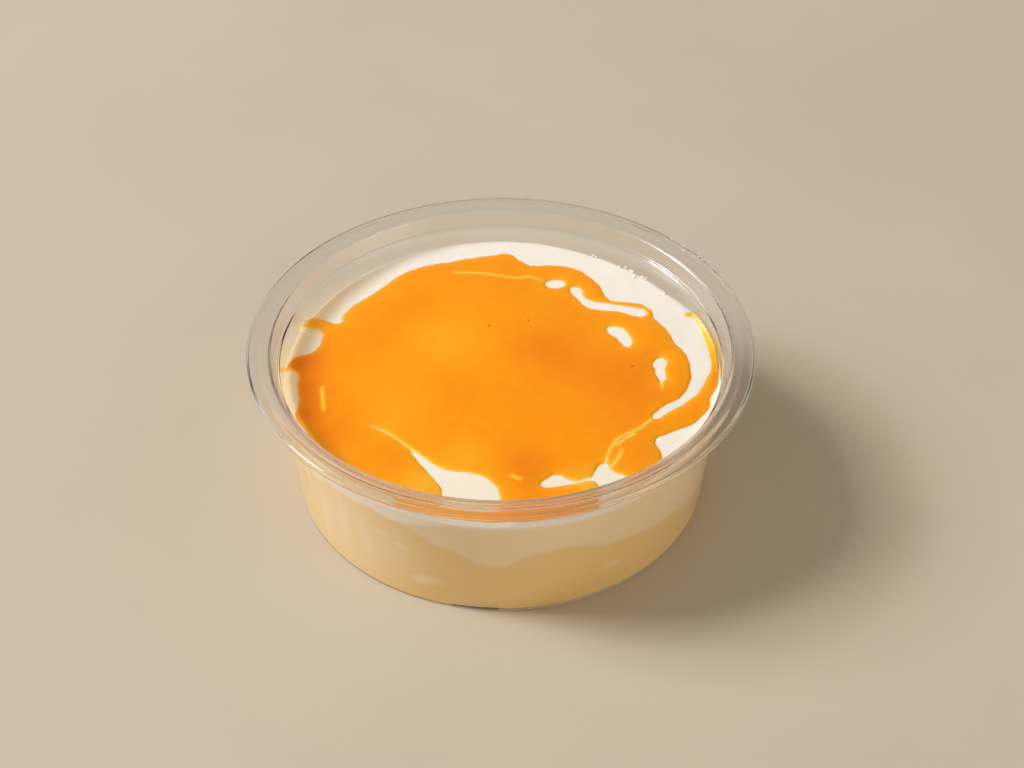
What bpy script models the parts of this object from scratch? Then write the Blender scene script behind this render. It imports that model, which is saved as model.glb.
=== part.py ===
"""A layered custard dessert in its clear round tub: custard, whipped cream and a poured fruit sauce.

The origin is the centre of the tub's foot on the table and +Z is up. Azimuths are in degrees
from +X towards +Y, and -Y is the front, where the foot has one of its three vents.
"""

import math

import bmesh
import bpy

MM = 0.001

# The tub, a thin-walled moulding
RIM_RADIUS = 58.5 * MM
TUB_HEIGHT = 38.8 * MM
WALL = 0.6 * MM
BASE_RADIUS = 49.6 * MM
LEDGE_HEIGHT = 34.5 * MM
WALL_TOP_RADIUS = 51.9 * MM
SEAT_FOOT_RADIUS = 52.1 * MM
SEAT_TOP_RADIUS = 53.1 * MM
FLANGE_HEIGHT = 38.2 * MM
BEAD_WIDTH = 3.0 * MM
BEAD_DROP = 1.6 * MM
FLOOR_THICKNESS = 0.7 * MM
CORNER_RADIUS = 2.2 * MM
FOOT_HEIGHT = 1.2 * MM
FOOT_WIDTH = 1.5 * MM
VENT_WIDTH = 10.0 * MM
VENT_HEIGHT = 0.9 * MM
VENT_AZIMUTHS = (-97, 23, 143)
RIM_ROUNDING = 0.7 * MM
FOOT_ROUNDING = 0.5 * MM
SMALL_ROUNDING = 0.25 * MM
TURN_STEPS = 64
MERGE_DISTANCE = 0.00001

# The filling
GAP = 0.3 * MM
CREAM_TOP = 30.5 * MM
SEAM_CENTRE = 18.0 * MM
# Height of the custard against the wall, all the way round: (azimuth, millimetres)
SEAM_AT_WALL = (
    (-176, 26.5), (-160, 26.8), (-145, 27.0), (-130, 26.4), (-115, 23.9), (-105, 19.8),
    (-91, 15.0), (-83, 18.3), (-75, 19.6), (-59, 16.0), (-45, 14.2), (-30, 10.5),
    (0, 12.0), (35, 16.0), (70, 14.0), (105, 19.0), (140, 24.0),
)
# Rings that shape each face of a layer, as shares of its radius
FLOOR_RINGS = (0.5, 0.955, 0.985, 1)
SEAM_RINGS = (0.25, 0.5, 0.75, 0.9, 1)
LEVEL_RINGS = (0.5, 1)
SHARP_ANGLE = math.radians(40)

# The sauce: a poured pool, its outline in millimetres, counter-clockwise from the back
SAUCE_THICKNESS = 0.7 * MM
POOL_BACK_EDGE = (
    (2, 44.6), (-3, 43.6), (-15, 40.5), (-23.5, 37), (-28, 32.5), (-31.5, 28), (-36, 23.2),
    (-38.6, 19), (-39.5, 15.6),
)
UPPER_TAIL = ((-41.5, 16), (-44, 17.3), (-47, 17.7), (-48.4, 15.8), (-46.6, 13.4), (-43.9, 12.6))
LOWER_TAIL = ((-43, 8.8), (-45, 4.2), (-48, 2.8), (-50.4, -0.4), (-49, -2.6), (-47.4, -4))
POOL_LEFT_EDGE = ((-47.3, -8), (-46.2, -13), (-46.6, -18))
FRONT_LEFT_ARC = (-154, -120, 49.4)
WALL_ARC = (-114, -67, 50.6)
FRONT_BAY = (
    (20.2, -43.2), (19.2, -40.6), (15.7, -41.2), (12, -41.9), (8.4, -41.2), (9.4, -39.2),
    (12.4, -37.7), (14.8, -39), (19, -38), (22.5, -34.4), (23.6, -36.4), (26.4, -38),
)
RIGHT_LOBE = ((28.6, -39.6), (33, -36.5), (35.2, -33.5), (35, -30), (34.4, -26.6))
RIBBON_OUTER_EDGE = ((37, -25.5), (42.3, -22.8), (46, -18.8), (48.7, -12.2))
RIBBON_WALL_ARC = (-6, 20, 50.6)
RIBBON_INNER_EDGE = (
    (45.8, 19.6), (47.2, 13.7), (48.7, 7.5), (49.3, 2), (48.6, -3), (46.4, -8), (43.1, -12.9),
    (38.1, -17.1), (34.4, -19.3),
)
POOL_RIGHT_EDGE = (
    (36, -16.4), (40.6, -12.4), (43.5, -8), (44.3, -2), (43.6, 4), (41.4, 8), (40.4, 12),
    (37.4, 17.2), (36, 21.9), (33, 23.6), (26.6, 24.8), (25, 29.6), (22, 34.8), (17, 38.7),
    (12, 39.3), (7.6, 39.2), (4.6, 41.6),
)
# Places that the sauce left bare, each a closed outline
FRONT_GAP = (
    (-28.2, -21.5), (-22.8, -26.1), (-17, -32.2), (-12.6, -35.9), (-6.8, -37.2), (-3.6, -38.7),
    (-0.6, -43.6), (-1.6, -47), (-7, -48), (-11.8, -46.4), (-13, -41.6), (-16.5, -35.9),
    (-20, -31), (-24.2, -26),
)
BACK_SPOT = ((11, 31.4), (13.2, 29.8), (16, 31.2), (14.4, 32.9))
BACK_STREAK = (
    (17.4, 29.6), (19, 29.9), (21, 25.2), (28, 22.9), (35.8, 18.8), (28, 20.2), (21.2, 21.8),
    (18.6, 25.6),
)
RIGHT_SPOT = ((25.6, 13.2), (28, 13.9), (30.6, 10.6), (30.4, 6.2), (27.6, 9.6))
RIGHT_STREAK = ((36.6, 1.4), (38.3, 2.2), (38.2, -2.4), (37, -9.2), (36, -1.6))
ARC_STEP = 6
CURVE_RESOLUTION = 3


def clear_scene():
    for scene_object in list(bpy.data.objects):
        bpy.data.objects.remove(scene_object, do_unlink=True)


def make_collection(name):
    collection = bpy.data.collections.new(name)
    bpy.context.scene.collection.children.link(collection)
    return collection


def make_material(name, colour, roughness, alpha=1.0):
    material = bpy.data.materials.new(name)
    material.use_nodes = True
    shader = material.node_tree.nodes["Principled BSDF"]
    shader.inputs["Base Color"].default_value = (*colour, 1.0)
    shader.inputs["Roughness"].default_value = roughness
    shader.inputs["Metallic"].default_value = 0.0
    shader.inputs["Alpha"].default_value = alpha
    return material


def wall_radius(height):
    """Outer radius of the tapered wall below the ledge."""
    return BASE_RADIUS + (WALL_TOP_RADIUS - BASE_RADIUS) * height / LEDGE_HEIGHT


def filling_radius(height):
    """How far the filling reaches, just clear of the wall's inner face."""
    return wall_radius(height) - WALL - GAP


def polar(azimuth, radius):
    angle = math.radians(azimuth)
    return radius * math.cos(angle), radius * math.sin(angle)


def rounded(corners):
    """Points of a profile whose corners, each (radius, height, fillet, segments), are rounded off."""
    points = []
    for index, (radius, height, fillet, segments) in enumerate(corners):
        if not fillet:
            points.append((radius, height))
            continue
        corner = (radius, height)
        start = step_towards(corner, corners[index - 1][:2], fillet)
        end = step_towards(corner, corners[index + 1][:2], fillet)
        for step in range(segments + 1):
            along = step / segments
            points.append(tuple(
                (1 - along) ** 2 * a + 2 * along * (1 - along) * b + along**2 * c
                for a, b, c in zip(start, corner, end)
            ))
    return points


def step_towards(point, other, distance):
    share = distance / math.dist(point, other)
    return tuple(a + (b - a) * share for a, b in zip(point, other))


def tub_profile():
    """The tub's section, from the middle of its floor up the inside, over the rim and down."""
    floor_top = FOOT_HEIGHT + FLOOR_THICKNESS
    bead_inside = RIM_RADIUS - BEAD_WIDTH
    bead_foot = TUB_HEIGHT - BEAD_DROP
    flange_under = FLANGE_HEIGHT - WALL
    ledge_under = LEDGE_HEIGHT - WALL
    foot_inside = BASE_RADIUS - FOOT_WIDTH
    small = SMALL_ROUNDING
    return rounded((
        (0, floor_top, 0, 1),
        (wall_radius(floor_top) - WALL, floor_top, CORNER_RADIUS, 3),
        (WALL_TOP_RADIUS - WALL, LEDGE_HEIGHT, small, 1),
        (SEAT_FOOT_RADIUS, LEDGE_HEIGHT, small, 1),
        (SEAT_TOP_RADIUS, FLANGE_HEIGHT, small, 1),
        (bead_inside - small, FLANGE_HEIGHT, small, 1),
        (bead_inside + small, TUB_HEIGHT, small, 1),
        (RIM_RADIUS, TUB_HEIGHT, RIM_ROUNDING, 3),
        (RIM_RADIUS, bead_foot, small, 1),
        (RIM_RADIUS - WALL, bead_foot, small / 2, 1),
        (RIM_RADIUS - WALL, flange_under, small, 1),
        (SEAT_TOP_RADIUS + WALL, flange_under, small, 1),
        (SEAT_FOOT_RADIUS + WALL, ledge_under, small, 1),
        (WALL_TOP_RADIUS, ledge_under, small, 1),
        (BASE_RADIUS, 0, FOOT_ROUNDING, 2),
        (foot_inside, 0, small, 1),
        (foot_inside, FOOT_HEIGHT, small, 1),
        (0, FOOT_HEIGHT, 0, 1),
    ))


def add_screw(turned):
    screw = turned.modifiers.new("Turn", "SCREW")
    screw.axis = "Z"
    screw.angle = math.tau
    screw.steps = TURN_STEPS
    screw.render_steps = TURN_STEPS
    screw.use_smooth_shade = True
    screw.use_merge_vertices = True
    screw.merge_threshold = MERGE_DISTANCE


def make_vent_cutter(azimuth, cutters):
    """A flat block across the foot ring, where it cuts one drain vent."""
    bpy.ops.mesh.primitive_cube_add(size=1)
    cutter = bpy.context.object
    for collection in list(cutter.users_collection):
        collection.objects.unlink(cutter)
    cutters.objects.link(cutter)
    cutter.name = f"vent_cutter_{azimuth}"
    cutter.scale = (3 * FOOT_WIDTH, VENT_WIDTH, 2 * VENT_HEIGHT)
    cutter.location = (*polar(azimuth, BASE_RADIUS - FOOT_WIDTH / 2), 0)
    cutter.rotation_euler.z = math.radians(azimuth)
    cutter.hide_render = True
    cutter.display_type = "WIRE"
    return cutter


def make_tub(parts, cutters):
    points = tub_profile()
    mesh = bpy.data.meshes.new("tub")
    mesh.from_pydata(
        [(radius, 0, height) for radius, height in points],
        [(index, index + 1) for index in range(len(points) - 1)],
        [],
    )
    tub = bpy.data.objects.new("tub", mesh)
    parts.objects.link(tub)
    tub.data.materials.append(make_material("clear_plastic", (0.86, 0.84, 0.8), 0.12, 0.3))
    add_screw(tub)
    for azimuth in VENT_AZIMUTHS:
        vent = tub.modifiers.new("Vent", "BOOLEAN")
        vent.operation = "DIFFERENCE"
        vent.object = make_vent_cutter(azimuth, cutters)


def seam_at_wall(azimuth):
    """Height where custard and cream meet at the wall, easing from one named height to the next."""
    stops = sorted(SEAM_AT_WALL)
    stops = [(stops[-1][0] - 360, stops[-1][1]), *stops, (stops[0][0] + 360, stops[0][1])]
    for (start, low), (end, high) in zip(stops, stops[1:]):
        if start <= azimuth <= end:
            ease = (1 - math.cos(math.pi * (azimuth - start) / (end - start))) / 2
            return (low + (high - low) * ease) * MM
    raise ValueError(azimuth)


def seam(azimuth, share):
    """Height of the seam at a share of the way from the axis to the wall."""
    return SEAM_CENTRE + (seam_at_wall(azimuth) - SEAM_CENTRE) * share**2


def custard_underside(_azimuth, share):
    """The flat underside, turned up round the tub's inner corner."""
    floor = FOOT_HEIGHT + FLOOR_THICKNESS + GAP
    past_bend = CORNER_RADIUS - (1 - share) * filling_radius(floor)
    past_bend = min(CORNER_RADIUS, max(0.0, past_bend))
    return floor + CORNER_RADIUS - math.sqrt(CORNER_RADIUS**2 - past_bend**2)


def custard_top(azimuth, share):
    return seam(azimuth, share)


def cream_underside(azimuth, share):
    return seam(azimuth, share) + GAP


def cream_top(_azimuth, _share):
    return CREAM_TOP


def make_layer(name, under_rings, under, top_rings, top, material, parts):
    """A round layer of the filling: a turned unit disc whose rings are set to two height rules."""
    below, above = 0, 1
    section = [(0, below), *((ring, below) for ring in under_rings)]
    section += [*((ring, above) for ring in reversed(top_rings)), (0, above)]
    sculpt = bmesh.new()
    points = [sculpt.verts.new((share, 0, side)) for share, side in section]
    edges = [sculpt.edges.new(pair) for pair in zip(points, points[1:])]
    bmesh.ops.spin(
        sculpt, geom=points + edges, cent=(0, 0, 0), axis=(0, 0, 1), angle=math.tau,
        steps=TURN_STEPS, use_merge=True,
    )
    bmesh.ops.remove_doubles(sculpt, verts=sculpt.verts[:], dist=MERGE_DISTANCE)
    for point in sculpt.verts:
        share = math.hypot(point.co.x, point.co.y)
        azimuth = math.degrees(math.atan2(point.co.y, point.co.x))
        rule = top if round(point.co.z) == above else under
        height = rule(azimuth, share)
        point.co = (*polar(azimuth, share * filling_radius(height)), height)
    bmesh.ops.recalc_face_normals(sculpt, faces=sculpt.faces[:])
    mesh = bpy.data.meshes.new(name)
    sculpt.to_mesh(mesh)
    sculpt.free()
    mesh.shade_smooth()
    mesh.set_sharp_from_angle(angle=SHARP_ANGLE)
    mesh.materials.append(material)
    parts.objects.link(bpy.data.objects.new(name, mesh))


def make_custard(parts):
    make_layer(
        "custard", FLOOR_RINGS, custard_underside, SEAM_RINGS, custard_top,
        make_material("custard", (0.78, 0.56, 0.29), 0.5), parts,
    )


def make_cream(parts):
    make_layer(
        "cream", SEAM_RINGS, cream_underside, LEVEL_RINGS, cream_top,
        make_material("cream", (0.9, 0.84, 0.7), 0.45), parts,
    )


def arc_points(start, end, radius_mm):
    """Points along an arc about the axis, evenly spaced, in millimetres."""
    count = max(1, round(abs(end - start) / ARC_STEP))
    return [polar(start + (end - start) * step / count, radius_mm) for step in range(count + 1)]


def pool_outline():
    return [
        *POOL_BACK_EDGE, *UPPER_TAIL, *LOWER_TAIL, *POOL_LEFT_EDGE,
        *arc_points(*FRONT_LEFT_ARC), *arc_points(*WALL_ARC), *FRONT_BAY, *RIGHT_LOBE,
        *RIBBON_OUTER_EDGE, *arc_points(*RIBBON_WALL_ARC), *RIBBON_INNER_EDGE, *POOL_RIGHT_EDGE,
    ]


def add_outline(curve, points):
    """A smooth closed outline through points given in millimetres."""
    spline = curve.splines.new("BEZIER")
    spline.bezier_points.add(len(points) - 1)
    for knot, (x, y) in zip(spline.bezier_points, points):
        knot.co = (x * MM, y * MM, 0)
        knot.handle_left_type = "AUTO"
        knot.handle_right_type = "AUTO"
    spline.use_cyclic_u = True


def make_sauce(parts):
    """The sauce lies on the cream as one flat pool with bare spots inside it."""
    curve = bpy.data.curves.new("sauce", "CURVE")
    curve.dimensions = "2D"
    curve.fill_mode = "BOTH"
    curve.extrude = SAUCE_THICKNESS / 2
    curve.resolution_u = CURVE_RESOLUTION
    add_outline(curve, pool_outline())
    for bare_spot in (FRONT_GAP, BACK_SPOT, BACK_STREAK, RIGHT_SPOT, RIGHT_STREAK):
        add_outline(curve, bare_spot)
    curve.materials.append(make_material("sauce", (0.95, 0.35, 0.02), 0.25))
    sauce = bpy.data.objects.new("sauce", curve)
    sauce.location.z = CREAM_TOP + GAP + SAUCE_THICKNESS / 2
    parts.objects.link(sauce)


clear_scene()
dessert = make_collection("custard_dessert")
helpers = make_collection("cutters")
make_tub(dessert, helpers)
make_custard(dessert)
make_cream(dessert)
make_sauce(dessert)
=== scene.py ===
"""Looks of a layered custard dessert in its clear round tub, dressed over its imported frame.

All lengths are in metres in the frame's axes: the tub's axis is +Z and its foot stands on z = 0.
Azimuths are in degrees from +X towards +Y, and -Y is the front.
"""

import math
import random

import bmesh
import bpy
import numpy as np
from mathutils import Matrix, Vector, noise


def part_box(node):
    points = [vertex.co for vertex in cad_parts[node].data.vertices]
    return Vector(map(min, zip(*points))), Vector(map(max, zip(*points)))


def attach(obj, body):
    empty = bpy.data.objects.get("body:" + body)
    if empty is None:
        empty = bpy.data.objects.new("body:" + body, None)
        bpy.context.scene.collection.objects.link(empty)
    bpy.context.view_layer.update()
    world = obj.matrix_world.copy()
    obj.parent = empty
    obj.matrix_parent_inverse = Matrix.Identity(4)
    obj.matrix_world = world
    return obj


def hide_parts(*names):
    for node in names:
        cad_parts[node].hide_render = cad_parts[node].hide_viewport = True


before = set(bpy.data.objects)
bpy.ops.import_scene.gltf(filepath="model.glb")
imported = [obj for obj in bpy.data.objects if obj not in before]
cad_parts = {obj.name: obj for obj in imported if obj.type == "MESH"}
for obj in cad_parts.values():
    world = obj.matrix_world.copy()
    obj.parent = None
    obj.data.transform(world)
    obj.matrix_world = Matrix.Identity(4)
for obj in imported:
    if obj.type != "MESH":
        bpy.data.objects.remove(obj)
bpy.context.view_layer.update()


# ---- Tub --------------------------------------------------------------------------------------
# A thin-walled moulding of clear plastic. The wall tapers down to a foot ring with three drain
# vents, and steps out above the food to the ledge, the lid's seat, a flat flange and a rolled rim.

MM = 0.001
RIM_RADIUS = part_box("tub")[1].x
TUB_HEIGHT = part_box("tub")[1].z
WALL = 0.6 * MM
BASE_RADIUS = 49.6 * MM
LEDGE_HEIGHT = 34.5 * MM
WALL_TOP_RADIUS = 51.9 * MM
SEAT_FOOT_RADIUS = 52.1 * MM
SEAT_TOP_RADIUS = 53.1 * MM
FLANGE_HEIGHT = 38.2 * MM
BEAD_WIDTH = 3.0 * MM
BEAD_DROP = 1.6 * MM
FLOOR_THICKNESS = 0.7 * MM
INNER_CORNER = 1.4 * MM
FOOT_HEIGHT = 1.2 * MM
FOOT_WIDTH = 1.5 * MM
VENT_WIDTH = 10.0 * MM
VENT_HEIGHT = 0.9 * MM
VENT_EDGE = 0.15 * MM
VENT_AZIMUTHS = (-97, 23, 143)
RIM_ROUNDING = 0.5 * MM
BEAD_ROUNDING = 0.5 * MM
LEDGE_ROUNDING = 0.38 * MM
FOOT_ROUNDING = 0.5 * MM
SMALL_ROUNDING = 0.28 * MM
FILLET_STEPS = 5
SUPPORT = 0.4 * MM
LONGEST_RUN = 3.0 * MM
WELD = 0.001 * MM
TUB_STEPS = 480
PLASTIC_TINT = (0.98, 0.955, 0.95)
# Painted reflection: the rim's front is tinted orange for the sauce seen through it
PAINTED_SAUCE_REFLECTION = (1.0, 0.89, 0.74)
PAINTED_SAUCE_REFLECTION_RUN = (-20 * MM, -45 * MM)
PLASTIC_SHADE = (0.81, 0.79, 0.77)
CLEAR_ROUGHNESS = 0.05
FLANGE_ROUGHNESS = 0.2
FLANGE_HAZE_END = (SEAT_TOP_RADIUS + 2 * MM, SEAT_TOP_RADIUS + 3 * MM)


def polar(azimuth, radius):
    angle = math.radians(azimuth)
    return Vector((radius * math.cos(angle), radius * math.sin(angle), 0))


def wall_radius(height):
    """Outer radius of the tapered wall below the ledge."""
    return BASE_RADIUS + (WALL_TOP_RADIUS - BASE_RADIUS) * height / LEDGE_HEIGHT


def rounded(corners):
    """A profile's points, with each corner (radius, height, fillet) turned on a smooth bend."""
    points = []
    for index, (radius, height, fillet) in enumerate(corners):
        corner = Vector((radius, height))
        if not fillet:
            points.append(corner)
            continue
        before, after = Vector(corners[index - 1][:2]), Vector(corners[index + 1][:2])
        start = corner + (before - corner).normalized() * fillet
        end = corner + (after - corner).normalized() * fillet
        for step in range(FILLET_STEPS + 1):
            along = step / FILLET_STEPS
            points.append(start.lerp(corner, along).lerp(corner.lerp(end, along), along))
    return points


def with_supports(points):
    """The profile with points close to the ends of each long run, so bends shade crisply."""
    supported = [points[0]]
    for start, end in zip(points, points[1:]):
        length = (end - start).length
        if length > 3 * SUPPORT:
            inner = SUPPORT / length
            count = max(1, round(length / LONGEST_RUN))
            supported += [
                start.lerp(end, inner + (1 - 2 * inner) * step / count) for step in range(count + 1)
            ]
        supported.append(end)
    return supported


def turned(profile, steps):
    """A bmesh of the profile, (radius, height) points, spun once round the axis and closed."""
    shape = bmesh.new()
    points = [shape.verts.new((radius, 0, height)) for radius, height in profile]
    edges = [shape.edges.new(pair) for pair in zip(points, points[1:])]
    bmesh.ops.spin(
        shape, geom=points + edges, cent=(0, 0, 0), axis=(0, 0, 1), angle=math.tau,
        steps=steps, use_merge=True,
    )
    bmesh.ops.remove_doubles(shape, verts=shape.verts[:], dist=WELD)
    bmesh.ops.recalc_face_normals(shape, faces=shape.faces[:])
    return shape


def to_object(name, shape, material, smooth=True):
    """Hands a bmesh over to a new object with one material."""
    mesh = bpy.data.meshes.new(name)
    shape.to_mesh(mesh)
    shape.free()
    if smooth:
        mesh.shade_smooth()
    mesh.materials.append(material)
    made = bpy.data.objects.new(name, mesh)
    bpy.context.scene.collection.objects.link(made)
    return made


def tub_profile():
    """From the middle of the tub's floor, up the inside, over the rim and down to the foot."""
    floor_top = FOOT_HEIGHT + FLOOR_THICKNESS
    bead_inside = RIM_RADIUS - BEAD_WIDTH
    bead_foot = TUB_HEIGHT - BEAD_DROP
    flange_under = FLANGE_HEIGHT - WALL
    ledge_under = LEDGE_HEIGHT - WALL
    small, soft, ledge = SMALL_ROUNDING, BEAD_ROUNDING, LEDGE_ROUNDING
    return with_supports(rounded((
        (0, floor_top, 0),
        (wall_radius(floor_top) - WALL, floor_top, INNER_CORNER),
        (WALL_TOP_RADIUS - WALL, LEDGE_HEIGHT, ledge),
        (SEAT_FOOT_RADIUS, LEDGE_HEIGHT, ledge),
        (SEAT_TOP_RADIUS, FLANGE_HEIGHT, small),
        (bead_inside - soft, FLANGE_HEIGHT, soft),
        (bead_inside + soft, TUB_HEIGHT, soft),
        (RIM_RADIUS, TUB_HEIGHT, RIM_ROUNDING),
        (RIM_RADIUS, bead_foot, small),
        (RIM_RADIUS - WALL, bead_foot, small),
        (RIM_RADIUS - WALL, TUB_HEIGHT - WALL, small),
        (bead_inside + soft + small, TUB_HEIGHT - WALL, soft),
        (bead_inside - small, flange_under, soft),
        (SEAT_TOP_RADIUS + WALL, flange_under, small),
        (SEAT_FOOT_RADIUS + WALL, ledge_under, ledge),
        (WALL_TOP_RADIUS, ledge_under, ledge),
        (BASE_RADIUS, 0, FOOT_ROUNDING),
        (BASE_RADIUS - FOOT_WIDTH, 0, small),
        (BASE_RADIUS - FOOT_WIDTH, FOOT_HEIGHT, small),
        (0, FOOT_HEIGHT, 0),
    )))


def near(azimuth, parts, reach):
    """Those vertices, edges or faces of the foot whose corners all lie close to one azimuth."""
    middle = polar(azimuth, BASE_RADIUS)
    found = []
    for part in parts:
        corners = [part] if isinstance(part, bmesh.types.BMVert) else part.verts
        if all(
            (corner.co - middle).length < reach and corner.co.z < 2 * FOOT_HEIGHT
            for corner in corners
        ):
            found.append(part)
    return found


def raise_vent(shape, azimuth):
    """Cuts the foot ring across at both ends of a vent and lifts the stretch between them."""
    radial, across = polar(azimuth, 1), polar(azimuth + 90, 1)
    half = VENT_WIDTH / 2
    for offset in (-half - VENT_EDGE, -half, half, half + VENT_EDGE):
        local = near(azimuth, [*shape.verts, *shape.edges, *shape.faces], VENT_WIDTH)
        bmesh.ops.bisect_plane(
            shape, geom=local, dist=WELD, plane_co=across * offset, plane_no=across,
        )
    for point in shape.verts:
        low = point.co.z < VENT_HEIGHT and point.co.dot(radial) > BASE_RADIUS - 2 * FOOT_WIDTH
        if low and abs(point.co.dot(across)) < half + VENT_EDGE / 2:
            point.co.z = VENT_HEIGHT


class Signal:
    """A socket of one material's nodes. Sums on it add Math nodes, and node() adds any other."""

    def __init__(self, tree, socket=None):
        self.tree = tree
        self.socket = socket

    def node(self, kind, settings=None, inputs=None, output=0):
        made = self.tree.nodes.new(kind)
        for name, value in (settings or {}).items():
            if name == "stops":
                ramp = made.color_ramp
                while len(ramp.elements) < len(value):
                    ramp.elements.new(0.5)
                for element, (place, colour) in zip(ramp.elements, value):
                    element.position = place
                    element.color = (*colour, 1)
            else:
                setattr(made, name, value)
        for name, value in (inputs or {}).items():
            if isinstance(value, Signal):
                self.tree.links.new(value.socket, made.inputs[name])
            elif isinstance(value, tuple) and len(made.inputs[name].default_value) > len(value):
                made.inputs[name].default_value = (*value, 1)
            else:
                made.inputs[name].default_value = value
        return Signal(self.tree, made.outputs[output] if made.outputs else None)

    def maths(self, operation, first, second):
        return self.node("ShaderNodeMath", {"operation": operation}, {0: first, 1: second})

    def __add__(self, other):
        return self.maths("ADD", self, other)

    __radd__ = __add__

    def __sub__(self, other):
        return self.maths("SUBTRACT", self, other)

    def __rsub__(self, other):
        return self.maths("SUBTRACT", other, self)

    def __mul__(self, other):
        return self.maths("MULTIPLY", self, other)

    __rmul__ = __mul__

    def blend(self, low, high):
        """The colour low where this is 0 and high where it is 1."""
        settings = {"data_type": "RGBA", "clamp_factor": True}
        return self.node("ShaderNodeMix", settings, {0: self, 6: low, 7: high}, output=2)

    def between(self, low, high):
        """0 below low, 1 above high and an easy slope between them."""
        settings = {"interpolation_type": "SMOOTHSTEP"}
        return self.node("ShaderNodeMapRange", settings, {0: self, 1: low, 2: high})


def new_material(name):
    """A material with an empty node tree, and the Signal that adds nodes to it."""
    material = bpy.data.materials.new(name)
    material.use_nodes = True
    material.node_tree.nodes.clear()
    return material, Signal(material.node_tree)


def finish_material(start, shader):
    start.node("ShaderNodeOutputMaterial", inputs={"Surface": shader})


def make_plastic():
    """Clear plastic, hazy in the flange and painted warm at the front as a reflection of the sauce,
    that dims what lamps send.
    """
    material, start = new_material("clear_plastic")
    place = start.node("ShaderNodeTexCoord", output="Object")
    x = start.node("ShaderNodeSeparateXYZ", inputs={0: place}, output="X")
    y = start.node("ShaderNodeSeparateXYZ", inputs={0: place}, output="Y")
    radius_squared = x * x + y * y
    past_wall = radius_squared.between(WALL_TOP_RADIUS**2, SEAT_FOOT_RADIUS**2)
    on_bead = radius_squared.between(FLANGE_HAZE_END[0] ** 2, FLANGE_HAZE_END[1] ** 2)
    haze = past_wall * (1 - on_bead)
    # Painted reflection of the sauce: the upper part of the tub is tinted orange towards the front
    tint = (past_wall * y.between(*PAINTED_SAUCE_REFLECTION_RUN)).blend(PLASTIC_TINT, PAINTED_SAUCE_REFLECTION)
    body = start.node("ShaderNodeBsdfPrincipled", inputs={
        "Base Color": tint, "IOR": 1.49, "Transmission Weight": 1.0,
        "Roughness": CLEAR_ROUGHNESS + haze * (FLANGE_ROUGHNESS - CLEAR_ROUGHNESS),
        "Coat Weight": 0.35, "Coat Roughness": 0.04,
    })
    shade = start.node("ShaderNodeBsdfTransparent", inputs={"Color": PLASTIC_SHADE})
    to_lamp = start.node("ShaderNodeLightPath", output="Is Shadow Ray")
    lit = start.node("ShaderNodeMixShader", inputs={0: to_lamp, 1: body, 2: shade})
    bounced = start.node("ShaderNodeLightPath", output="Is Diffuse Ray")
    clear = start.node("ShaderNodeBsdfTransparent", inputs={"Color": PLASTIC_TINT})
    finish_material(start, start.node("ShaderNodeMixShader", inputs={0: bounced, 1: lit, 2: clear}))
    return material


tub_shape = turned(tub_profile(), TUB_STEPS)
for vent_azimuth in VENT_AZIMUTHS:
    raise_vent(tub_shape, vent_azimuth)
tub = to_object("tub_moulding", tub_shape, make_plastic())
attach(tub, "root")
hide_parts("tub")


# ---- Custard ----------------------------------------------------------------------------------
# A set egg custard that fills the lower part of the tub. Cream was spooned on before it had
# stiffened, so their seam is soft and wavy, and a few streaks of cream sank along the wall. Tall pale
# streaks on the left wall are painted highlights.

WALL_GRIP = 0.2 * MM
NEAR_WALL = 0.98
SEAM_CENTRE = 18.0 * MM
SEAM_SOFTNESS = 0.55 * MM
# Ripples of the seam: (height, waves per metre)
SEAM_RIPPLES = ((0.35 * MM, 260), (0.15 * MM, 900))
RING_SPACING = 1.0 * MM
SIDE_SPACING = 0.5 * MM
SIDE_HEIGHT = 20 * MM
LAYER_STEPS = 320
CUSTARD_SKIRT_WIDTH = 0.5 * MM
CUSTARD_FOOT = 0.6 * MM
VENT_GAP = 0.2 * MM
VENT_MARGIN = 0.4 * MM
CREASE = math.radians(50)
CUSTARD_COLOUR = (0.86, 0.60, 0.235)
CREAM_COLOUR = (0.95, 0.865, 0.74)
CREAM_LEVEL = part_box("cream")[1].z
# Clean cream shows in a lip along the top of the wall, higher at the left, and below it the cream's
# side is painted darker and warmer, as painted shade
LIP_HEIGHT = 2.5 * MM
LIP_WIDTH = 0.35 * MM
LIP_SHARE = 1 - LIP_WIDTH / WALL_TOP_RADIUS
LIP_FADE = 1.0 * MM
LEFT_LIP_HEIGHT = 4.4 * MM
LEFT_LIP_AZIMUTH = -138
LEFT_LIP_SPREAD = 36
PAINTED_WALL_SHADE = 0.55
# The cream is thin over the custard near the wall at the left, and darker there also as painted
# shade of the rim; at the front it is a little warmer as painted shade and bounce light from the
# sauce
THIN_AND_SHADED_SIDE = 172
THIN_AND_SHADED_SPREAD = 48
THIN_AND_SHADE_WARMTH = 0.75
THIN_AND_SHADED_FROM = 0.84
THIN_AND_SHADED_OVER = 0.1
FRONT_PAINTED_SHADE = 0.15
FRONT_SHADE_FROM = -25 * MM
FRONT_SHADE_OVER = 15 * MM
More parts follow.
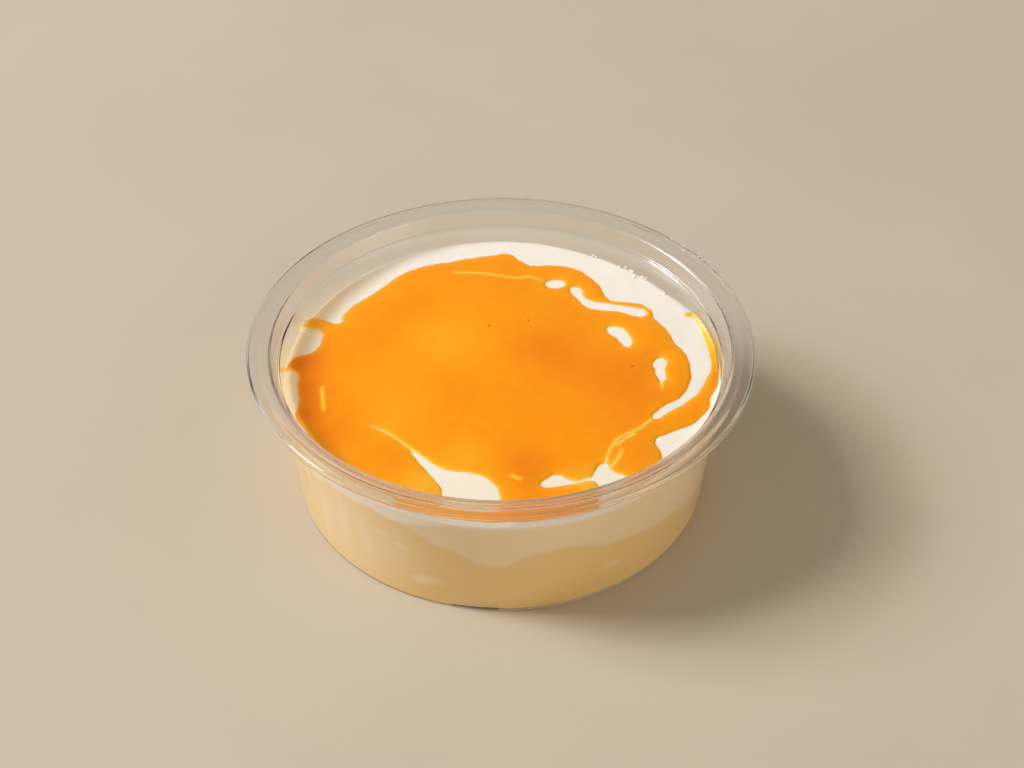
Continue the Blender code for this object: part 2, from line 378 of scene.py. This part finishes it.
# Cream that sank along the wall, and tall pale streaks on the left wall that are painted highlights:
# (azimuth, height, half width, half height, share of cream), in millimetres, with edges that wander
# by so much along the wall and up it
SUNK_AND_SHEEN_WANDER_ALONG = 1.2
SUNK_AND_SHEEN_WANDER_UP = 0.7
SUNK_AND_SHEEN_SHARPNESS = 2.5
SUNK_CREAM_AND_SHEEN = (
    (-110, 7.6, 3.4, 1.4, 0.5), (-116.5, 16.5, 2.6, 1.0, 0.45), (-121, 18.6, 2.2, 1.2, 0.4),
    (-60, 9.0, 2.6, 0.9, 0.25), (35, 9.0, 4.5, 1.8, 0.5), (120, 13.0, 3.5, 1.4, 0.4),
    # On this line and the next, the tall streaks at -127 to -149 and the broad one at -130 are
    # painted highlights
    (160, 17.5, 2.6, 1.2, 0.5), (-127, 14.0, 2.4, 7.0, 0.38), (-134, 16.0, 2.0, 8.0, 0.42),
    (-142, 13.0, 2.4, 9.0, 0.36), (-149, 22.0, 1.1, 6.0, 0.36), (-130, 15.0, 15.0, 12.0, 0.26),
    (-134, 27.4, 9.5, 2.5, 1.0), (-145, 24.8, 5.0, 2.0, 0.8),
)


def azimuth_of(x, y):
    return math.degrees(math.atan2(y, x))


def turn_between(azimuth, other):
    """Degrees from the other azimuth to this one, from -180 to 180."""
    return (azimuth - other + 180) % 360 - 180


def clamp(value):
    """The value, or 0 or 1 where it lies past them."""
    return min(1, max(0, value))


def waves(point, sizes):
    """Smooth uneven noise at a point, summed over (height, waves per metre) pairs."""
    return sum(height * noise.noise(point * scale) for height, scale in sizes)


def seam_samples():
    """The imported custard's height against the wall, as (azimuth, height) pairs in order."""
    points = [vertex.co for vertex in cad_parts["custard"].data.vertices]
    top_of_corner = FOOT_HEIGHT + FLOOR_THICKNESS + 2 * INNER_CORNER
    heights = {}
    for point in points:
        reach = wall_radius(point.z) - WALL
        if point.z > top_of_corner and math.hypot(point.x, point.y) > NEAR_WALL * reach:
            heights[round(azimuth_of(point.x, point.y), 2)] = point.z
    return sorted(heights.items())


SEAM_SAMPLES = seam_samples()


def seam_at_wall(azimuth):
    """A smooth curve through the samples, all the way round."""
    count = len(SEAM_SAMPLES)
    place = (azimuth - SEAM_SAMPLES[0][0]) % 360 / 360 * count
    index, share = int(place), place % 1
    a, b, c, d = (SEAM_SAMPLES[(index + step) % count][1] for step in (-1, 0, 1, 2))
    bend = 2 * a - 5 * b + 4 * c - d + (3 * b - a - 3 * c + d) * share
    return b + share / 2 * (c - a + share * bend)


def seam(azimuth, share):
    """Height of the seam at a share of the way from the axis to the wall."""
    return SEAM_CENTRE + (seam_at_wall(azimuth) - SEAM_CENTRE) * share**2


def hump(azimuth, middle, spread_of_hump):
    """1 at the middle azimuth, falling in a curve to 0 at the spread on either side."""
    return max(0, 1 - (turn_between(azimuth, middle) / spread_of_hump) ** 2)


def cream_share(point):
    """How much of what shows at a point of the filling is cream, from 0 to 1, with painted shade and
    highlights.
    """
    azimuth = azimuth_of(point.x, point.y)
    share = math.hypot(point.x, point.y) / (wall_radius(point.z) - WALL)
    above = point.z + waves(point, SEAM_RIPPLES) - seam(azimuth, min(1, share))
    lip = LIP_HEIGHT + LEFT_LIP_HEIGHT * hump(azimuth, LEFT_LIP_AZIMUTH, LEFT_LIP_SPREAD)
    # Painted shade: below the lip the cream's side is darkened and warmed towards the custard's
    # colour
    below_lip = clamp((CREAM_LEVEL - lip - point.z) / LIP_FADE)
    cream = (0.5 + 0.5 * math.tanh(above / SEAM_SOFTNESS)) * (1 - PAINTED_WALL_SHADE * below_lip)
    # Partly painted shade: the thin cream at the left also stands in for the rim's shadow there
    outer = clamp((share - THIN_AND_SHADED_FROM) / THIN_AND_SHADED_OVER)
    cream *= 1 - THIN_AND_SHADE_WARMTH * outer * hump(azimuth, THIN_AND_SHADED_SIDE, THIN_AND_SHADED_SPREAD)
    # Painted shade and bounce light: the cream's top is warmed towards the front
    if share < LIP_SHARE:
        cream *= 1 - FRONT_PAINTED_SHADE * clamp((FRONT_SHADE_FROM - point.y) / FRONT_SHADE_OVER)
    # Sunk cream, and painted highlights as tall pale streaks on the left wall
    for sunk_and_sheen_azimuth, height, half_width, half_height, most in SUNK_CREAM_AND_SHEEN:
        along = math.radians(turn_between(azimuth, sunk_and_sheen_azimuth)) * BASE_RADIUS / MM
        along += SUNK_AND_SHEEN_WANDER_ALONG * noise.noise(point * 180)
        up = point.z / MM - height
        up += SUNK_AND_SHEEN_WANDER_UP * noise.noise(point * 240 + Vector((5, 0, 0)))
        reach = math.hypot(along / half_width, up / half_height)
        cream = max(cream, most * (0.5 + 0.5 * math.tanh((1 - reach) * SUNK_AND_SHEEN_SHARPNESS)))
    return cream


def spread(length, spacing):
    """Shares from 0 to 1 that split a length evenly, about one spacing apart."""
    count = max(1, round(length / spacing))
    return [step / count for step in range(count + 1)]


def add_share_attribute(piece):
    """Stores each vertex's share of cream on the mesh for its material."""
    shares = [cream_share(vertex.co) for vertex in piece.data.vertices]
    attribute = piece.data.attributes.new("cream_share", "FLOAT", "POINT")
    attribute.data.foreach_set("value", shares)


def make_filling(name, roughness, sheen_bump):
    """Dairy: soft and slightly see-through, from custard to cream by an attribute of cream share,
    which also carries painted shade and highlights.
    """
    material, start = new_material(name)
    share = start.node("ShaderNodeAttribute", {"attribute_name": "cream_share"}, output="Fac")
    place = start.node("ShaderNodeTexCoord", output="Object")
    mottle = start.node("ShaderNodeTexNoise", inputs={
        "Vector": place, "Scale": 160, "Detail": 3,
    }) - 0.5
    colour = (share + mottle * 0.06).blend(CUSTARD_COLOUR, CREAM_COLOUR)
    grain = start.node("ShaderNodeTexNoise", inputs={"Vector": place, "Scale": 900, "Detail": 4})
    bump = start.node("ShaderNodeBump", inputs={
        "Strength": sheen_bump, "Distance": 0.0002, "Height": grain,
    })
    shader = start.node("ShaderNodeBsdfPrincipled", inputs={
        "Base Color": colour, "Roughness": roughness, "IOR": 1.4, "Subsurface Weight": 0.25,
        "Subsurface Radius": (1.0, 0.85, 0.65), "Subsurface Scale": 0.001, "Normal": bump,
    })
    finish_material(start, shader)
    return material


def settle(shape, under, top):
    """Sets a turned layer, whose radii are shares of the wall's, to its two height rules."""
    for point in shape.verts:
        share = min(1, math.hypot(point.co.x, point.co.y))
        azimuth = azimuth_of(point.co.x, point.co.y)
        low, high = under(azimuth, share), top(azimuth, share)
        height = low + (high - low) * point.co.z
        radius = share * (wall_radius(height) - WALL + WALL_GRIP)
        point.co = polar(azimuth, radius) + Vector((0, 0, height))
    for edge in shape.edges:
        edge.smooth = edge.calc_face_angle(0) < CREASE


def layer_profile(spacing, side_height):
    """A unit disc's section: out along the underside, up the side and back along the top."""
    out = spread(WALL_TOP_RADIUS, spacing)
    out.insert(-1, LIP_SHARE)
    up = spread(side_height, SIDE_SPACING)
    return [(share, 0) for share in out] + [(1, share) for share in up[1:-1]] + [
        (share, 1) for share in reversed(out)
    ]


def custard_underside(azimuth, share):
    """Flat on the tub's floor, and drawn down inside the foot ring except over the vents."""
    floor = FOOT_HEIGHT + FLOOR_THICKNESS - WALL_GRIP
    if share < 1 - CUSTARD_SKIRT_WIDTH / BASE_RADIUS:
        return floor
    across = min(
        (polar(azimuth, BASE_RADIUS) - polar(vent, BASE_RADIUS)).length for vent in VENT_AZIMUTHS
    )
    over_vent = across < VENT_WIDTH / 2 + VENT_MARGIN
    return VENT_HEIGHT + VENT_GAP if over_vent else CUSTARD_FOOT


custard_shape = turned(layer_profile(RING_SPACING, SIDE_HEIGHT), LAYER_STEPS)
settle(custard_shape, custard_underside, seam)
custard = to_object("set_custard", custard_shape, make_filling("custard", 0.42, 0.15))
add_share_attribute(custard)
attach(custard, "root")
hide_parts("custard")


# ---- Cream ------------------------------------------------------------------------------------
# Lightly whipped cream, poured level over the custard, with soft swells on top. It rounds down to
# the wall in a low, uneven shoulder, and clings to the wall and climbs it at the front right.

# Swells of the top, and how uneven the shoulder is round the wall: (height, waves per metre)
SWELLS = ((0.22 * MM, 70), (0.22 * MM / 3, 260))
SHOULDER_WAVES = ((0.3, 3), (0.2, 14))
SHOULDER_DROP = 2.2 * MM
SHOULDER_WIDTH = 2.0 * MM
SHOULDER_CURVE = 1.4
CLIMB = 2.8 * MM
CLIMB_AZIMUTH = -25
CLIMB_SPREAD = 36
LEVEL_AZIMUTH = 13
LEVEL_SPREAD = 24
BACK_LEVEL = 0.7
BACK_AZIMUTH = 100
BACK_SPREAD = 50
TOP_SPACING = 0.7 * MM
CREAM_SIDE_HEIGHT = 12 * MM


def cream_level(azimuth, share):
    """Height of the cream's top: soft swells, and a round shoulder down to the wall."""
    swell = waves(polar(azimuth, share * WALL_TOP_RADIUS), SWELLS)
    uneven = 1 + waves(polar(azimuth, 1), SHOULDER_WAVES)
    clings = hump(azimuth, CLIMB_AZIMUTH, CLIMB_SPREAD)
    to_wall = (1 - share) * WALL_TOP_RADIUS
    bend = max(0, 1 - to_wall / SHOULDER_WIDTH)
    stays_level = max(
        clings, hump(azimuth, LEVEL_AZIMUTH, LEVEL_SPREAD),
        BACK_LEVEL * hump(azimuth, BACK_AZIMUTH, BACK_SPREAD),
    )
    drop = SHOULDER_DROP * uneven * (1 - stays_level) * bend**SHOULDER_CURVE
    return CREAM_LEVEL + swell - drop + CLIMB * clings * max(0, 1 - to_wall / LIP_WIDTH)


cream_shape = turned(layer_profile(TOP_SPACING, CREAM_SIDE_HEIGHT), LAYER_STEPS)
settle(cream_shape, seam, cream_level)
cream_material = make_filling("cream", 0.38, 0.25)
cream = to_object("whipped_cream", cream_shape, cream_material)
add_share_attribute(cream)
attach(cream, "root")
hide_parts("cream")


# ---- Bubbles in the cream ---------------------------------------------------------------------
# Fine bubbles that the cream took in as it was whipped. They rose and gathered in three places
# near the wall at the back right, where their low domes stand a little out of the cream.

BUBBLE_SEED = 3
# Where they gathered: (azimuth, spread in degrees, how many)
BUBBLE_CLUSTERS = ((63, 2.5, 4), (48, 6, 7), (33, 1.5, 2))
BUBBLE_SHARES = (0.925, 0.968)
BUBBLE_RADII = (0.2 * MM, 0.6 * MM)
BUBBLE_FLATNESS = 0.4

bubble_shape = bmesh.new()
chance = random.Random(BUBBLE_SEED)
for cluster_azimuth, cluster_spread, bubble_count in BUBBLE_CLUSTERS:
    for _ in range(bubble_count):
        bubble_azimuth = cluster_azimuth + chance.uniform(-cluster_spread, cluster_spread)
        bubble_share = chance.uniform(*BUBBLE_SHARES)
        middle = polar(bubble_azimuth, bubble_share * WALL_TOP_RADIUS)
        middle.z = cream_level(bubble_azimuth, bubble_share)
        bmesh.ops.create_icosphere(
            bubble_shape, subdivisions=2, radius=chance.uniform(*BUBBLE_RADII),
            matrix=Matrix.Translation(middle) @ Matrix.Diagonal((1, 1, BUBBLE_FLATNESS, 1)),
        )
bubbles = to_object("cream_bubbles", bubble_shape, cream_material)
add_share_attribute(bubbles)
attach(bubbles, "root")


# ---- Sauce ------------------------------------------------------------------------------------
# A smooth mango sauce poured over the cream. It lies under a millimetre deep with rounded edges,
# leaves bare spots of cream, and is yellow where it is thin and orange where it is deep. It climbs
# the wall a little at the ribbon on the right and at the two tails on the left.

SAUCE_CELL = 0.42 * MM
GRID_PARTS = 40
SAUCE_SETTLED = 0.15 * MM
SAUCE_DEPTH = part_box("sauce")[1].z - CREAM_LEVEL - SAUCE_SETTLED
EDGE_DEPTH = 0.26 * MM
EDGE_ROUNDING = 0.3 * MM
POOL_ROUNDING = 5.0 * MM
EDGE_LOBES = 0.22 * MM
EDGE_RAGGEDNESS = 0.28 * MM
SUNK_EDGE = -0.8 * MM
SAUCE_FOOT = CREAM_LEVEL - 0.9 * MM
WIDEST_POOL = 50.3 * MM
WALL_REACH = 0.5 * MM
WALL_CLIMB = 1.4 * MM
CLIMB_FOOT = 49.8 * MM
CLIMB_WIDTH = 1.2 * MM
CLIMB_CURVE = 1.5
CLIMB_EDGE = 0.6 * MM
# Where the sauce holds on to the wall: (azimuth, spread) of the ribbon and the two left tails
WALL_HOLDS = ((9, 24), (161, 7), (181, 7))


def pool_outline():
    """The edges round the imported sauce's top face, as an array of (start, end) points."""
    copy = bmesh.new()
    copy.from_mesh(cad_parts["sauce"].data)
    bmesh.ops.remove_doubles(copy, verts=copy.verts[:], dist=WELD)
    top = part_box("sauce")[1].z - 0.01 * MM
    edges = [
        [corner.co.xy[:] for corner in edge.verts]
        for edge in copy.edges
        if min(corner.co.z for corner in edge.verts) > top
        and min(abs(face.normal.z) for face in edge.link_faces) < 0.5
    ]
    copy.free()
    return np.array(edges)


def gap_to_runs(points, start, along):
    """Distance from each point to the nearest of some straight runs."""
    to_point = points[:, None] - start
    share = np.clip((to_point * along).sum(2) / (along**2).sum(1), 0, 1)
    return np.linalg.norm(to_point - share[..., None] * along, axis=2).min(1)


def distance_to_line(points, line):
    """Distance from each point to a line of joined runs, given in millimetres."""
    line = np.array(line) * MM
    return gap_to_runs(points, line[:-1], np.diff(line, axis=0))


def distance_inside(points, edges):
    """Distance from each point to the nearest edge, and below zero outside the outline."""
    start, along = edges[:, 0], edges[:, 1] - edges[:, 0]
    gap = gap_to_runs(points, start, along)
    crosses = (edges[:, 0, 1] > points[:, None, 1]) != (edges[:, 1, 1] > points[:, None, 1])
    rise = np.where(along[:, 1] == 0, 1, along[:, 1])
    meets = start[:, 0] + along[:, 0] * (points[:, None, 1] - start[:, 1]) / rise
    inside = (crosses & (meets > points[:, None, 0])).sum(1) % 2 == 1
    return np.where(inside, gap, -gap)


POOL_EDGES = pool_outline()
# Pale lines where the sauce thinned to a film: points in millimetres
THIN_LINES = (
    ((-11.9, 35.7), (-5.1, 35.2), (-0.5, 34.1), (4.3, 33.0), (7, 33.9), (10.5, 32.2)),
    ((-41.2, -9.1), (-40.8, -12.5), (-40.1, -16.8)),
    ((-29, -22), (-25.5, -24.2), (-22.4, -27), (-19, -30.3), (-17, -32.5)),
    ((22.5, -34.5), (23.8, -30.3), (25.1, -27.7), (26.2, -26.4), (28.1, -25.1), (30.9, -23.4),
     (35.1, -18.4)),
    ((26.4, -30.6), (25.5, -33), (24, -35.4)), ((36.8, -6), (37.0, -9.5)),
    ((25.4, -28.9), (27.3, -26.9), (29.6, -25.2)),
    ((2, -38.5), (4, -39.5)),
)
LINE_WIDTH = 0.45 * MM
# Where the edge stands further out (positive) or in than packed: (x, y, radius, shift) in millimetres
EDGE_SHIFTS = (
    (-27.5, -23.1, 3, 1.3), (-23.5, -26.3, 3, 1.1), (-20, -29.5, 2.5, 0.7), (37.0, -8.2, 2.2, 1.4),
    (35.7, -5.8, 1.6, 0.9), (35.4, -0.5, 1.5, -0.4),
    (44.6, 15.8, 3.0, -1.9), (46.3, 10.5, 2.6, -1.3), (47.6, 5.6, 2.2, -0.5),
    (48.3, -12, 3, -0.8), (44.8, -19, 4, -0.6), (40.4, -23.8, 4, -0.8), (36.5, -26.5, 2.5, -0.5),
    (12.5, -42.3, 3.5, 0.6), (17.5, -41.3, 3, 0.8), (20.8, -40.0, 2.5, 0.9),
    (-48.5, 15.8, 2.5, 0.6),
)
# The ribbon's thin end, from its curled tip on along the wall: points in millimetres
CURL = (
    (45.6, 18.6), (46.6, 18.9), (47.8, 16.4), (49.0, 11.5), (50.1, 6.0), (50.4, 1.5), (50.2, -3.0),
)
CURL_REACH = 1.0 * MM
# Share of full depth well inside the pool, and what it loses at the edge: how much, over how far
POOL_SHARE = 0.66
FILM_LOSS = 0.30
FILM_REACH = 0.25 * MM
SLOPE_LOSS = 0.2
SLOPE_REACH = 1.2 * MM
LINE_LOSS = 0.9
DEPTH_CLOUD = 0.05
# Places where the sauce's colour is deeper orange (positive) or paler (negative): (x, y, radius in
# millimetres, change of depth)
DEPTH_SPOTS = (
    # The first five spots darken the sauce to a deeper orange towards its left edge
    (-46, 8, 5, 0.2), (-46, 0, 5, 0.24), (-45, -9, 5, 0.2), (-43, -17, 5, 0.2),
    (-38, -25, 5, 0.14), (11, 5, 9, 0.14), (38, -12, 9, 0.06),
    (28, -6, 10, 0.12), (6, -37, 7, 0.12), (-12, 7, 9, -0.18), (-25, -15, 8, -0.08),
    (-8, -33, 5, -0.15), (-17, -41, 5, -0.3), (49, 14, 8, -0.4),
    (-47, 15, 4, -0.3), (19, -41, 4.5, -0.3),
)


def spot(points, x, y, radius):
    """1 at a place given in millimetres, and falling softly to nothing past its radius."""
    gap = np.hypot(points[:, 0] - x * MM, points[:, 1] - y * MM)
    return np.exp(-((gap / (radius * MM)) ** 2))


def flat_noise(points, level, scale):
    """Smooth noise at each point, with its own level so that no two uses are alike."""
    return np.array([noise.noise(Vector((x, y, level)) * scale) for x, y in points])


def sauce_depth(points, inside):
    """Share of full depth at each point, which the sauce's colour follows."""
    inward = np.clip(inside, 0, None)
    depth = POOL_SHARE - FILM_LOSS * np.exp(-inward / FILM_REACH)
    depth -= SLOPE_LOSS * np.exp(-inward / SLOPE_REACH)
    for x, y, radius, change in DEPTH_SPOTS:
        depth += change * spot(points, x, y, radius)
    depth += DEPTH_CLOUD * flat_noise(points, 0.3, 60)
    for line in THIN_LINES:
        thin = np.exp(-((distance_to_line(points, line) / LINE_WIDTH) ** 2))
        depth *= 1 - LINE_LOSS * thin
    return np.clip(depth, 0, 1)


def sauce_swell(inside):
    """Rise of the sauce over the cream: a small rounded edge, then a slow swell to full depth."""
    if inside < 0:
        return EDGE_DEPTH * inside / EDGE_ROUNDING
    edge = EDGE_DEPTH * (1 - math.exp(-inside / EDGE_ROUNDING))
    return edge + (SAUCE_DEPTH - EDGE_DEPTH) * (1 - math.exp(-inside / POOL_ROUNDING))


def wall_hold(x, y):
    """How firmly the sauce holds the wall at a point's azimuth, from 0 to 1."""
    azimuth = azimuth_of(x, y)
    return max(hump(azimuth, middle, spread_of_hold) for middle, spread_of_hold in WALL_HOLDS)


def widest_pool(x, y):
    """How far out the sauce lies at most: short of the wall, or against it where it holds on."""
    return WIDEST_POOL + WALL_REACH * wall_hold(x, y)


def wall_rise(x, y, inside):
    """How much the sauce climbs towards the wall where it holds on."""
    outward = clamp((math.hypot(x, y) - CLIMB_FOOT) / CLIMB_WIDTH)
    within = clamp(0.5 + inside / CLIMB_EDGE)
    return WALL_CLIMB * wall_hold(x, y) * outward**CLIMB_CURVE * within


def pool_inside(points):
    """How far inside the poured pool each point lies, with its uneven edge and curled ribbon."""
    inside = np.concatenate([
        distance_inside(part, POOL_EDGES) for part in np.array_split(points, GRID_PARTS)
    ])
    lobes, ragged = flat_noise(points, 0.1, 190), flat_noise(points, 0, 480)
    inside += EDGE_LOBES * lobes + EDGE_RAGGEDNESS * ragged
    for x, y, radius, shift in EDGE_SHIFTS:
        inside += shift * MM * spot(points, x, y, radius)
    return np.maximum(inside, CURL_REACH - distance_to_line(points, CURL))


def make_sauce_shape():
    """A fine grid over the tub's mouth, cut to the pool, swelled to its depth and closed below."""
    reach = wall_radius(CREAM_LEVEL) - WALL + WALL_GRIP
    cells = round(2 * reach / SAUCE_CELL)
    shape = bmesh.new()
    bmesh.ops.create_grid(shape, x_segments=cells, y_segments=cells, size=reach)
    points = np.array([point.co.xy[:] for point in shape.verts])
    inside = pool_inside(points)
    rise_layer = shape.verts.layers.float.new("rise")
    for point, value in zip(shape.verts, inside):
        point[rise_layer] = wall_rise(point.co.x, point.co.y, value)
    widest = np.array([widest_pool(x, y) for x, y in points])
    inside = np.minimum(inside, widest - np.linalg.norm(points, axis=1))
    inside_layer = shape.verts.layers.float.new("inside")
    for point, value in zip(shape.verts, inside):
        point[inside_layer] = value
    outside = [
        face for face in shape.faces
        if all(
            point[inside_layer] < SUNK_EDGE
            or point.co.xy.length > widest_pool(*point.co.xy) + EDGE_ROUNDING
            for point in face.verts
        )
    ]
    bmesh.ops.delete(shape, geom=outside, context="FACES")
    for point in shape.verts:
        limit = widest_pool(*point.co.xy) + EDGE_ROUNDING
        if point.co.xy.length > limit:
            point.co.xy *= limit / point.co.xy.length
            point[inside_layer] = min(point[inside_layer], -EDGE_ROUNDING)
        share = min(point.co.xy.length / reach, LIP_SHARE)
        level = cream_level(azimuth_of(point.co.x, point.co.y), share)
        point.co.z = level + sauce_swell(point[inside_layer]) + point[rise_layer]
    shape.verts.layers.float.remove(rise_layer)
    below = bmesh.ops.extrude_face_region(shape, geom=shape.faces[:])["geom"]
    for part in below:
        if isinstance(part, bmesh.types.BMVert):
            part.co.z = min(SAUCE_FOOT, part.co.z - EDGE_DEPTH)
    bmesh.ops.recalc_face_normals(shape, faces=shape.faces[:])
    return shape


def add_depth_attribute(piece):
    points = np.array([vertex.co.xy[:] for vertex in piece.data.vertices])
    inside = np.empty(len(points), np.float32)
    piece.data.attributes["inside"].data.foreach_get("value", inside)
    attribute = piece.data.attributes.new("sauce_depth", "FLOAT", "POINT")
    attribute.data.foreach_set("value", sauce_depth(points, inside).astype(np.float32))
    piece.data.attributes.remove(piece.data.attributes["inside"])


def make_sauce_material():
    """Fruit sauce: satin, with its colour running from pale yellow film to deep orange."""
    material, start = new_material("sauce")
    depth = start.node("ShaderNodeAttribute", {"attribute_name": "sauce_depth"}, output="Fac")
    place = start.node("ShaderNodeTexCoord", output="Object")
    pulp = start.node("ShaderNodeTexNoise", inputs={"Vector": place, "Scale": 420, "Detail": 3})
    colour = start.node("ShaderNodeValToRGB", {"stops": (
        (0.0, (0.95, 0.78, 0.40)), (0.18, (0.91, 0.53, 0.04)), (0.40, (0.98, 0.40, 0.02)),
        (0.62, (0.98, 0.33, 0.008)), (0.82, (0.88, 0.22, 0.006)), (1.0, (0.78, 0.15, 0.006)),
    )}, {"Fac": depth + (pulp - 0.5) * 0.05})
    fine = start.node("ShaderNodeTexNoise", inputs={"Vector": place, "Scale": 700, "Detail": 3})
    bump = start.node("ShaderNodeBump", inputs={
        "Strength": 0.12, "Distance": 0.0002, "Height": fine,
    })
    shader = start.node("ShaderNodeBsdfPrincipled", inputs={
        "Base Color": colour, "Roughness": 0.3, "IOR": 1.36, "Specular IOR Level": 0.16,
        "Normal": bump,
    })
    finish_material(start, shader)
    return material


sauce = to_object("mango_sauce", make_sauce_shape(), make_sauce_material())
add_depth_attribute(sauce)
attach(sauce, "root")
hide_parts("sauce")


# ---- Fruit fibres -----------------------------------------------------------------------------
# Three dark specks of mango fibre that came through the sieve with the sauce. Each is a short,
# flattened grain that lies half sunk in its surface.

# Where they lie: (x, y) in millimetres
FLECKS = ((-3.0, 13.5), (6.5, 15.5), (30.6, -1.8))
FLECK_RADIUS = 0.22 * MM
FLECK_SHAPE = (1.7, 0.8, 0.5, 1)
FLECK_TURN = 1.9
FLECK_COLOUR = (0.20, 0.07, 0.01)


def make_fleck_material():
    """Wet brown fibre, uneven in tone."""
    material, start = new_material("fruit_fleck")
    place = start.node("ShaderNodeTexCoord", output="Object")
    tone = start.node("ShaderNodeTexNoise", inputs={"Vector": place, "Scale": 2500})
    paler = tuple(2 * channel for channel in FLECK_COLOUR)
    shader = start.node("ShaderNodeBsdfPrincipled", inputs={
        "Base Color": tone.blend(FLECK_COLOUR, paler), "Roughness": 0.5,
    })
    finish_material(start, shader)
    return material


fleck_shape = bmesh.new()
for number, (x, y) in enumerate(FLECKS):
    under = Vector((x * MM, y * MM))
    top = max(
        vertex.co.z for vertex in sauce.data.vertices if (vertex.co.xy - under).length < SAUCE_CELL
    )
    turn = Matrix.Rotation(number * FLECK_TURN, 4, "Z") @ Matrix.Diagonal(FLECK_SHAPE)
    bmesh.ops.create_icosphere(
        fleck_shape, subdivisions=2, radius=FLECK_RADIUS,
        matrix=Matrix.Translation((*under, top)) @ turn,
    )
flecks = to_object("fruit_flecks", fleck_shape, make_fleck_material())
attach(flecks, "root")


# ---- Floor ------------------------------------------------------------------------------------
# A plain pale stone-coloured floor, only there to stand the tub on.

FLOOR_SIZE = 4.0
FLOOR_COLOUR = (0.54, 0.468, 0.355)
FLOOR_CLOUD = 1.05


def make_floor_material():
    material, start = new_material("studio_floor")
    place = start.node("ShaderNodeTexCoord", output="Object")
    cloud = start.node("ShaderNodeTexNoise", inputs={"Vector": place, "Scale": 9, "Detail": 4})
    paler = tuple(channel * FLOOR_CLOUD for channel in FLOOR_COLOUR)
    shader = start.node("ShaderNodeBsdfPrincipled", inputs={
        "Base Color": cloud.between(0.3, 0.7).blend(FLOOR_COLOUR, paler), "Roughness": 0.6,
    })
    finish_material(start, shader)
    return material


floor_shape = bmesh.new()
bmesh.ops.create_grid(floor_shape, x_segments=1, y_segments=1, size=FLOOR_SIZE / 2)
floor = to_object("studio_floor", floor_shape, make_floor_material(), smooth=False)


# ---- Light ------------------------------------------------------------------------------------
# A soft lamp high on the left, a broad weak one low on the right, and a warm surround that is
# brighter at the horizon than overhead.

KEY_DIRECTION = Vector((-0.776, 0.1, 0.623)).normalized()
KEY_DISTANCE = 3.0
KEY_SIZE = 0.75
KEY_POWER = 98
KEY_COLOUR = (0.92, 0.95, 1.0)
FILL_DIRECTION = Vector((0.85, -0.45, 0.29)).normalized()
FILL_DISTANCE = 2.0
FILL_SIZE = 1.2
FILL_POWER = 9
FILL_COLOUR = (1.0, 0.95, 0.86)
OVERHEAD = (0.30, 0.28, 0.25)
HORIZON = (0.84, 0.745, 0.595)
HORIZON_TOP = 0.62


def add_lamp(name, towards, distance, size, power, colour):
    """A square soft lamp that looks at the tub from a direction."""
    lamp = bpy.data.objects.new(name, bpy.data.lights.new(name, "AREA"))
    lamp.data.shape = "SQUARE"
    lamp.data.size = size
    lamp.data.energy = power
    lamp.data.color = colour
    lamp.location = towards * distance
    lamp.rotation_euler = towards.to_track_quat("Z", "Y").to_euler()
    bpy.context.scene.collection.objects.link(lamp)


add_lamp("key_lamp", KEY_DIRECTION, KEY_DISTANCE, KEY_SIZE, KEY_POWER, KEY_COLOUR)
add_lamp("fill_lamp", FILL_DIRECTION, FILL_DISTANCE, FILL_SIZE, FILL_POWER, FILL_COLOUR)

surround = bpy.data.worlds.new("surround")
surround.use_nodes = True
surround.node_tree.nodes.clear()
sky = Signal(surround.node_tree)
direction = sky.node("ShaderNodeTexCoord", output="Generated")
rise = sky.node("ShaderNodeSeparateXYZ", inputs={0: direction}, output="Z")
glow = rise.between(0.0, HORIZON_TOP).blend(HORIZON, OVERHEAD)
background = sky.node("ShaderNodeBackground", inputs={"Color": glow})
sky.node("ShaderNodeOutputWorld", inputs={"Surface": background})
bpy.context.scene.world = surround
bpy.context.scene.view_settings.view_transform = "Standard"


# ---- Camera -----------------------------------------------------------------------------------
# It looks down at the tub from the front at about 43 degrees, with a hair of roll.

CAMERA_PLACE = Vector((0, -271.9, 254.6)) * MM
CAMERA_AIM = Vector((2.8, 28.65, 0)) * MM
CAMERA_ROLL = math.radians(0.207)
CAMERA_LENS = 52.73

camera = bpy.data.objects.new("camera", bpy.data.cameras.new("camera"))
camera.data.lens = CAMERA_LENS
camera.data.sensor_width = 36
aim = (CAMERA_AIM - CAMERA_PLACE).to_track_quat("-Z", "Y").to_matrix()
camera.matrix_world = (
    Matrix.Translation(CAMERA_PLACE) @ (aim @ Matrix.Rotation(CAMERA_ROLL, 3, "Z")).to_4x4()
)
bpy.context.scene.collection.objects.link(camera)
bpy.context.scene.camera = camera
